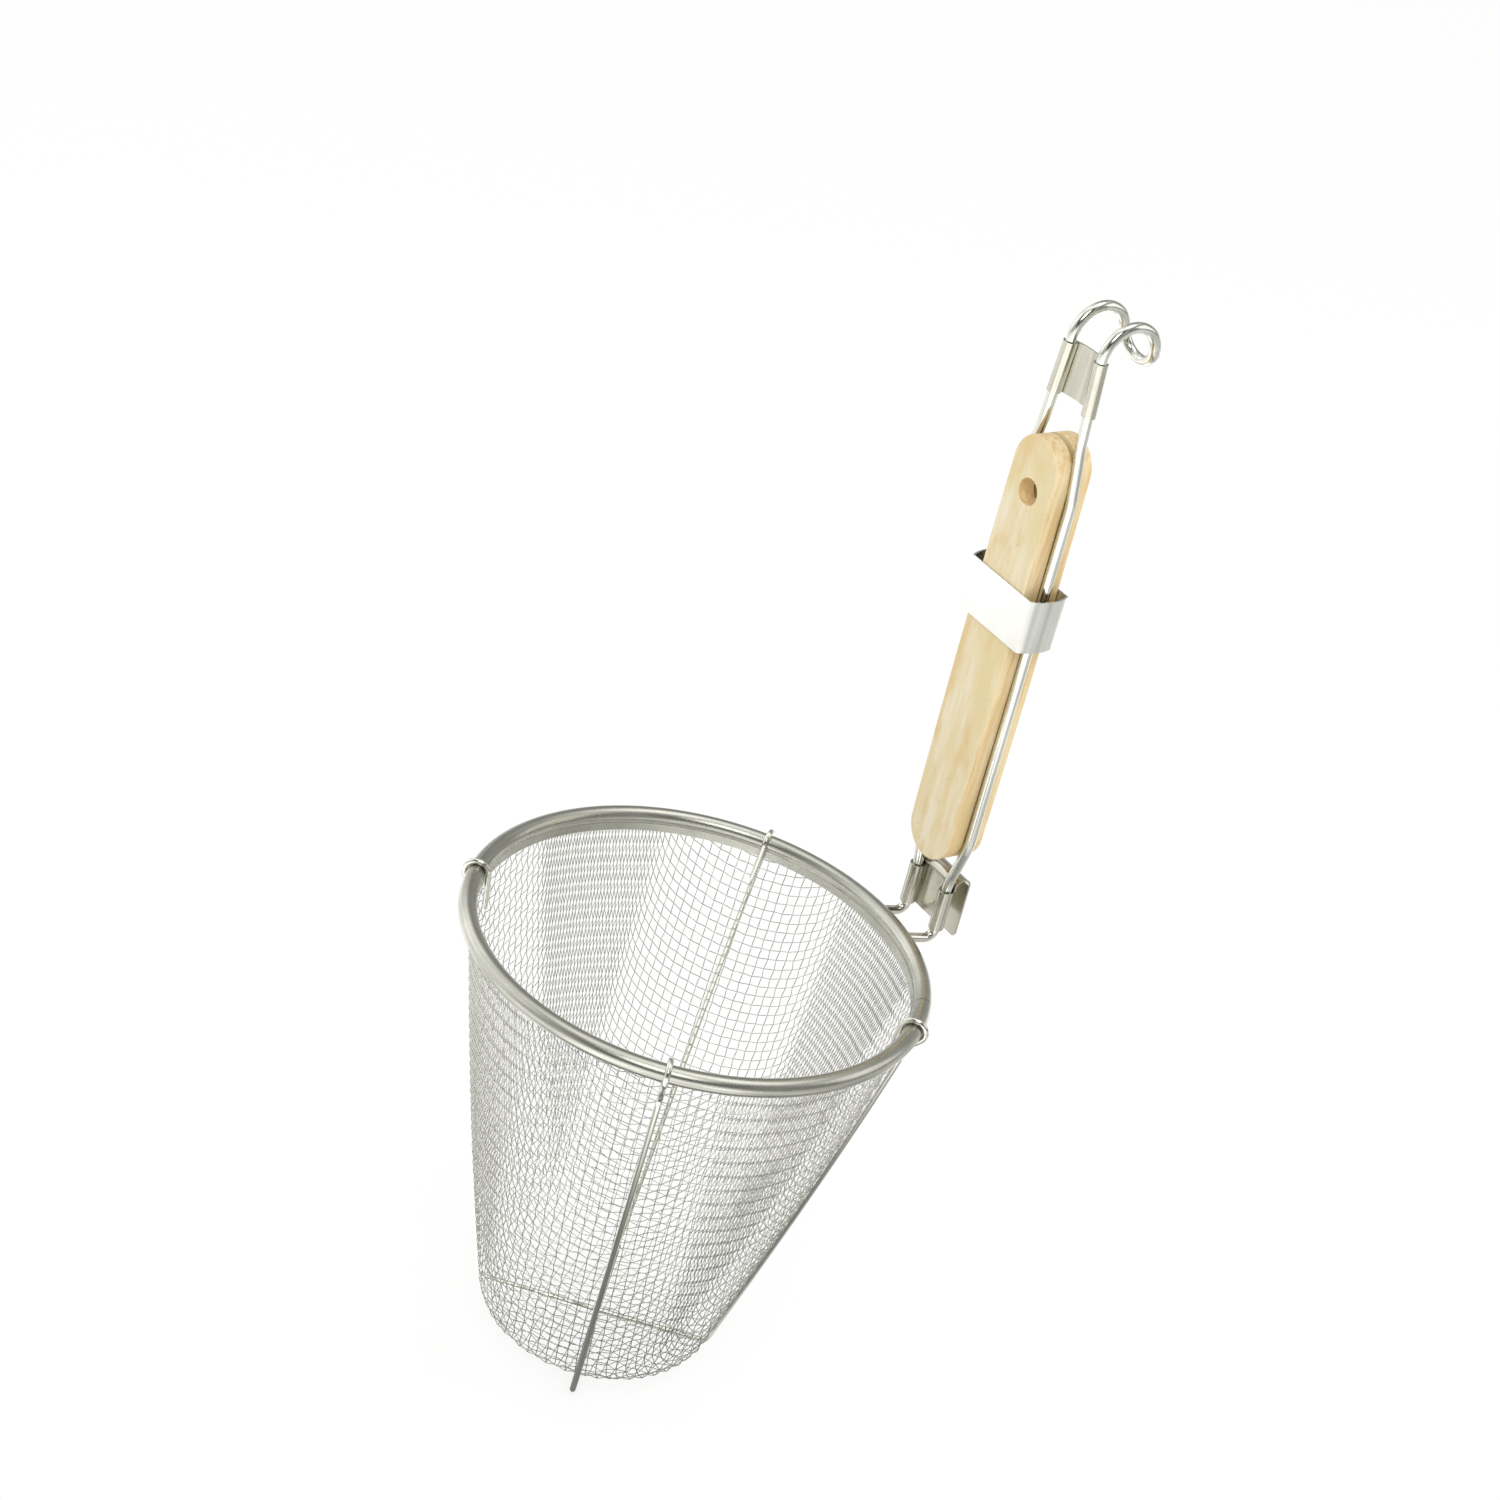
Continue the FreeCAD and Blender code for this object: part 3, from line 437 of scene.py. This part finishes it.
def wire_points(surface, net, keys):
    """A wire through those crossings, over and under in turn, cut off inside the rim's fold."""
    points = []
    for here, there in zip(keys, keys[1:]):
        if net[here][0] > surface.length and net[there][0] > surface.length:
            continue
        start = surface.point(*net[here])
        end = surface.point(*net[there])
        out = (surface.outward(*net[here]) + surface.outward(*net[there])).normalized()
        over = 1 if sum(here) % 2 == 0 else -1
        for step in range(WIRE_STEPS + 1):
            share = step / WIRE_STEPS
            run = net[here][0] + (net[there][0] - net[here][0]) * share
            if run > surface.length:
                continue
            if points and step == 0 and (points[-1] - start).length < CLOTH_PITCH / 2:
                continue
            wave = CRIMP * math.cos(math.pi * share) * over
            points.append(start.lerp(end, share) + out * wave)
    return points


def thread_mesh(name, threads):
    """A mesh of bare edges, one open chain for each wire."""
    vertices = []
    edges = []
    for points in threads:
        first = len(vertices)
        vertices += [point * MM for point in points]
        edges += [(at, at + 1) for at in range(first, len(vertices) - 1)]
    mesh = bpy.data.meshes.new(name)
    mesh.from_pydata(vertices, edges, [])
    piece = bpy.data.objects.new(name, mesh)
    bpy.context.scene.collection.objects.link(piece)
    return piece


def wire_tree(name, material):
    """Geometry Nodes: edges in, round wires out, with the wire's diameter and sides as inputs."""
    tree = bpy.data.node_groups.new(name, "GeometryNodeTree")
    tree.interface.new_socket("Threads", in_out="INPUT", socket_type="NodeSocketGeometry")
    diameter = tree.interface.new_socket("Wire diameter", in_out="INPUT", socket_type="NodeSocketFloat")
    sides = tree.interface.new_socket("Wire sides", in_out="INPUT", socket_type="NodeSocketInt")
    tree.interface.new_socket("Wires", in_out="OUTPUT", socket_type="NodeSocketGeometry")
    given = add_node(tree, "NodeGroupInput").outputs
    radius = add_node(tree, "ShaderNodeMath", {"operation": "MULTIPLY"}, {
        0: given["Wire diameter"], 1: 0.5})
    ring = add_node(tree, "GeometryNodeCurvePrimitiveCircle", {}, {
        "Resolution": given["Wire sides"], "Radius": radius})
    paths = add_node(tree, "GeometryNodeMeshToCurve", {}, {"Mesh": given["Threads"]})
    wires = add_node(tree, "GeometryNodeCurveToMesh", {}, {
        "Curve": paths, "Profile Curve": ring, "Fill Caps": True})
    smooth = add_node(tree, "GeometryNodeSetShadeSmooth", {}, {"Geometry": wires})
    real = add_node(tree, "GeometryNodeRealizeInstances", {}, {"Geometry": smooth})
    painted = add_node(tree, "GeometryNodeSetMaterial", {}, {"Geometry": real, "Material": material})
    add_node(tree, "NodeGroupOutput", {}, {"Wires": painted})
    return tree, diameter.identifier, sides.identifier


def run_tree(piece, tree, values):
    """Give the object the tree's result as its own plain mesh."""
    modifier = piece.modifiers.new("wires", "NODES")
    modifier.node_group = tree
    for identifier, value in values.items():
        modifier[identifier] = value
    bpy.context.view_layer.update()
    graph = bpy.context.evaluated_depsgraph_get()
    made = bpy.data.meshes.new_from_object(piece.evaluated_get(graph), depsgraph=graph)
    piece.modifiers.remove(modifier)
    bare = piece.data
    piece.data = made
    bpy.data.meshes.remove(bare)


def weave_cloth(material):
    """Both sets of the cloth's wires, each in two halves."""
    surface = BasketSurface()
    net = whole_net(surface)
    place = Matrix.Translation(surface.axis) @ Matrix.Rotation(WEAVE_TURN, 4, "Z")
    tree, diameter, sides = wire_tree("cloth_wires", material)
    reach = max(column for column, _ in net)
    halves = {"left": range(-reach, 0), "right": range(0, reach + 1)}
    for name, crosswise in (("cloth_warp", False), ("cloth_weft", True)):
        for half, lines in halves.items():
            threads = []
            for line in lines:
                steps = range(-reach, reach + 1)
                keys = [(line, step) if crosswise else (step, line) for step in steps]
                points = wire_points(surface, net, [key for key in keys if key in net])
                if len(points) > 1:
                    threads.append([place @ point for point in points])
            piece = thread_mesh(name + "_" + half, threads)
            run_tree(piece, tree, {diameter: CLOTH_WIRE * MM, sides: WIRE_SIDES})
            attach(piece, "root")
            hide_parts("mesh_basket")


# Support wires: hooked over the rim, along the wall and under the bottom

def bend(before, corner, after):
    """Points of a bend that touches both lines one bend length from their corner."""
    start = corner + (before - corner).normalized() * TIGHT_BEND
    end = corner + (after - corner).normalized() * TIGHT_BEND
    shares = [step / BEND_STEPS for step in range(BEND_STEPS + 1)]
    return [start.lerp(corner, share).lerp(corner.lerp(end, share), share) for share in shares]


def support_leg(surface, floor_height):
    """Radius and height of a wire from its free end to its corner under the wall."""
    rise = surface.rim_top - surface.bottom
    slope = math.tan(WALL_ANGLE)

    def beside_wall(height, off):
        """The place that far off the wall, at that height."""
        share = (height - surface.bottom) / rise
        line = BASE_RADIUS + (height - surface.bottom + CLOTH_THICKNESS / 2) * slope
        return Vector((line + wall_swell(max(share, 0.0)) + off / math.cos(WALL_ANGLE), height))

    # From the free end, which leans on the rim's skirt, round the bead
    off = SUPPORT_WIRE / 2 + SUPPORT_GAP
    wrap = BEAD_RADIUS + off
    bead = Vector((surface.rim_radius - BEAD_RADIUS, surface.rim_top - BEAD_RADIUS))
    end = beside_wall(surface.rim_top - FREE_END, -(CLOTH_THICKNESS + RIM_STRIP + off))
    to_bead = bead - end
    first = math.atan2(to_bead.y, to_bead.x) + math.asin(wrap / to_bead.length) + math.pi / 2
    points = [end]
    for step in range(BEAD_STEPS + 1):
        turn = first + (BEAD_LEAVE - first) * step / BEAD_STEPS
        points.append(bead + Vector((math.cos(turn), math.sin(turn))) * wrap)

    # Straight to the wall, and down along it
    left = points[-1]
    course = Vector((math.sin(BEAD_LEAVE), -math.cos(BEAD_LEAVE)))
    past = left.x - beside_wall(left.y, off).x
    meet = left + course * past / (-course.x + course.y * slope)
    points += bend(left, meet, beside_wall(meet.y - WALL_AIM, off))
    height = points[-1].y
    while height > floor_height + 2 * TIGHT_BEND:
        points.append(beside_wall(height, off))
        height -= TIGHT_BEND
    points.append(beside_wall(floor_height, off))
    return points


def support_wires(material):
    """Both wires, each from rim to rim."""
    surface = BasketSurface()
    for node, azimuths in SUPPORT_PLACES.items():
        low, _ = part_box(node)
        leg = support_leg(surface, low[2] / MM + SUPPORT_WIRE / 2)
        sides = []
        for at_rim, at_foot in azimuths:
            side = []
            for point in leg:
                share = (surface.rim_top - point.y) / (surface.rim_top - leg[-1].y)
                turn = math.radians(at_rim + (at_foot - at_rim) * share)
                side.append(surface.axis + Vector((
                    point.x * math.cos(turn), point.x * math.sin(turn), point.y)))
            sides.append(side)
        first, second = sides
        path = first[:-1] + bend(first[-2], first[-1], second[-1])
        path += bend(first[-1], second[-1], second[-2]) + second[-2::-1]
        tree, diameter, count = wire_tree(node + "_shape", material)
        piece = thread_mesh(node + "_bent", [path])
        run_tree(piece, tree, {diameter: SUPPORT_WIRE * MM, count: SUPPORT_SIDES})
        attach(piece, "root")
        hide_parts(node)


def paint(material, *nodes):
    """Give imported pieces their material."""
    for node in nodes:
        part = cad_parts[node]
        part.data.materials.clear()
        part.data.materials.append(material)


# Studio

def set_camera():
    """The photograph's view."""
    camera_data = bpy.data.cameras.new("camera")
    camera_data.lens = CAMERA_LENS
    camera_data.sensor_width = CAMERA_SENSOR
    camera_data.clip_end = CAMERA_REACH
    camera = bpy.data.objects.new("camera", camera_data)
    forward = (CAMERA_TARGET - CAMERA_PLACE).normalized()
    side = forward.cross(Vector((0, 0, 1))).normalized()
    up = side.cross(forward)
    right = side * math.cos(CAMERA_ROLL) + up * math.sin(CAMERA_ROLL)
    above = up * math.cos(CAMERA_ROLL) - side * math.sin(CAMERA_ROLL)
    turn = Matrix((right, above, -forward)).transposed().to_4x4()
    camera.matrix_world = Matrix.Translation(CAMERA_PLACE * MM) @ turn
    bpy.context.scene.collection.objects.link(camera)
    bpy.context.scene.camera = camera


def toward(tree, direction, side, spread, low, high):
    """A value that goes from low to high as the direction turns to that side."""
    start, full = spread
    facing = add_node(tree, "ShaderNodeVectorMath", {"operation": "DOT_PRODUCT"}, {
        0: direction, 1: side})
    return add_node(tree, "ShaderNodeMapRange", {"interpolation_type": "SMOOTHSTEP"}, {
        "Value": facing, "From Min": start, "From Max": full, "To Min": low, "To Max": high})


def uneven(tree, place, size, least, most):
    """Soft light and dark areas, as any real studio has."""
    start, full = SPOT_EDGE
    spots = add_node(tree, "ShaderNodeTexNoise", {}, {
        "Vector": place, "Scale": 1 / size, "Detail": 1.0})
    return add_node(tree, "ShaderNodeMapRange", {"interpolation_type": "SMOOTHSTEP"}, {
        "Value": spots, "From Min": start, "From Max": full, "To Min": least, "To Max": most})


def mirrored_paper(tree, height):
    """How bright the steel shows the paper: white to its edge, dark at the basket's foot."""
    place = add_node(tree, "ShaderNodeTexCoord").outputs["Object"]
    axis = BasketSurface().axis * MM
    from_foot = add_node(tree, "ShaderNodeVectorMath", {"operation": "SUBTRACT"}, {
        0: place, 1: (axis.x, axis.y, height)})
    away = add_node(tree, "ShaderNodeVectorMath", {"operation": "LENGTH"}, {0: from_foot})
    direction = add_node(tree, "ShaderNodeVectorMath", {"operation": "NORMALIZE"}, {0: from_foot})
    white = add_node(tree, "ShaderNodeMapRange", {"interpolation_type": "SMOOTHSTEP"}, {
        "Value": away, "From Min": PAPER_EDGE * MM, "From Max": 2 * PAPER_EDGE * MM,
        "To Min": PAPER_BRIGHT, "To Max": PAPER_FAR})
    foot = add_node(tree, "ShaderNodeMapRange", {"interpolation_type": "SMOOTHSTEP"}, {
        "Value": away, "From Min": FOOT_SHADE * MM, "From Max": 2 * FOOT_SHADE * MM,
        "To Min": FOOT_DARK, "To Max": 1.0})
    elsewhere = toward(tree, direction, CAMERA_SIDE, FOOT_SPREAD, 1.0, 0.0)
    shade = add_node(tree, "ShaderNodeMath", {"operation": "MAXIMUM"}, {0: foot, 1: elsewhere})
    unlit = toward(tree, direction, UNLIT_SIDE, UNLIT_SPREAD, 1.0, UNLIT_DARK)
    table = toward(tree, direction, CAMERA_SIDE, TABLE_SPREAD, 1.0, TABLE_BRIGHT)
    size, least, most = PAPER_SPOTS
    spots = uneven(tree, place, size * MM, least, most)
    level = white
    for factor in (shade, unlit, spots, table):
        level = add_node(tree, "ShaderNodeMath", {"operation": "MULTIPLY"}, {0: level, 1: factor})
    return level


def lay_paper():
    """A wide sheet of white paper that keeps a faint shadow."""
    low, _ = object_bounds()
    size = PAPER_WIDTH * MM / 2
    height = low[2] - PAPER_GAP * MM
    mesh = bpy.data.meshes.new("floor")
    corners = [(x * size, y * size, height) for x, y in ((-1, -1), (1, -1), (1, 1), (-1, 1))]
    mesh.from_pydata(corners, [], [(0, 1, 2, 3)])
    floor = bpy.data.objects.new("floor", mesh)
    bpy.context.scene.collection.objects.link(floor)
    material, tree = new_material("white_paper_sweep")
    rays = add_node(tree, "ShaderNodeLightPath").outputs
    mirrored = add_node(tree, "ShaderNodeMath", {"operation": "MAXIMUM"}, {
        0: rays["Is Glossy Ray"], 1: rays["Is Transmission Ray"]})
    mirrored_share = add_node(tree, "ShaderNodeMath", {"operation": "MULTIPLY"}, {
        0: mirrored, 1: MIRRORED_LIT})
    seen_share = add_node(tree, "ShaderNodeMath", {"operation": "MULTIPLY"}, {
        0: rays["Is Camera Ray"], 1: PAPER_LIT})
    share = add_node(tree, "ShaderNodeMath", {"operation": "MAXIMUM"}, {
        0: mirrored_share, 1: seen_share})
    level = add_node(tree, "ShaderNodeMix", {"data_type": "FLOAT"}, {
        0: rays["Is Glossy Ray"], 2: PAPER_WHITE, 3: mirrored_paper(tree, height)})
    paper = add_node(tree, "ShaderNodeBsdfDiffuse", {}, {"Color": linear("#F4F4F2")})
    white = add_node(tree, "ShaderNodeEmission", {}, {"Color": (1, 1, 1, 1), "Strength": level})
    both = add_node(tree, "ShaderNodeMixShader", {}, {0: share, 1: paper, 2: white})
    add_node(tree, "ShaderNodeOutputMaterial", {}, {"Surface": both})
    floor.data.materials.append(material)


def set_room():
    """White walls for the camera, and softboxes and dark places for the steel."""
    world = bpy.data.worlds.new("studio")
    bpy.context.scene.world = world
    world.use_nodes = True
    tree = world.node_tree
    tree.nodes.clear()
    direction = add_node(tree, "ShaderNodeTexCoord").outputs["Generated"]
    mirrored = ROOM_LEVEL
    for side, spread, bright in SOFTBOXES:
        mirrored = add_node(tree, "ShaderNodeMath", {"operation": "MAXIMUM"}, {
            0: mirrored, 1: toward(tree, direction, side, spread, ROOM_LEVEL, bright)})
    factors = [toward(tree, direction, side, spread, 1.0, dark) for side, spread, dark in DARK_PLACES]
    size, least, most = ROOM_SPOTS
    factors.append(uneven(tree, direction, size, least, most))
    for factor in factors:
        mirrored = add_node(tree, "ShaderNodeMath", {"operation": "MULTIPLY"}, {
            0: mirrored, 1: factor})
    rays = add_node(tree, "ShaderNodeLightPath").outputs
    level = ROOM_LIGHT
    for ray, brightness in (("Is Glossy Ray", mirrored), ("Is Camera Ray", 1.0)):
        level = add_node(tree, "ShaderNodeMix", {"data_type": "FLOAT"}, {
            0: rays[ray], 2: level, 3: brightness})
    sky = add_node(tree, "ShaderNodeBackground", {}, {"Color": (1, 1, 1, 1), "Strength": level})
    add_node(tree, "ShaderNodeOutputWorld", {}, {"Surface": sky})


def hang_lamps():
    """Square lamps that face the basket."""
    middle = CAMERA_TARGET * MM
    for name, (place, power) in LAMPS.items():
        lamp_data = bpy.data.lights.new(name, "AREA")
        lamp_data.shape = "SQUARE"
        lamp_data.size = LAMP_WIDTH * MM
        lamp_data.energy = power
        lamp = bpy.data.objects.new(name, lamp_data)
        lamp.location = Vector(place) * MM
        lamp.rotation_euler = (middle - lamp.location).to_track_quat("-Z", "Y").to_euler()
        bpy.context.scene.collection.objects.link(lamp)


# The basket, then the studio round it

wire = drawn_wire()
paint(wire, "handle_wire")
paint(brushed_rim_strip(), "rim_band")
paint(rolled_sheet(), "slab_band")
# The bracket and the clip wear the stainless sheet painted darker, as shade
paint(shade_darkened_sheet(), "pot_hook_bracket", "top_clip")
paint(planed_beech(), "front_slab", "rear_slab")
weave_cloth(stainless_wire_cloth())
support_wires(wire)
set_camera()
lay_paper()
set_room()
hang_lamps()
bpy.context.scene.view_settings.view_transform = "Standard"
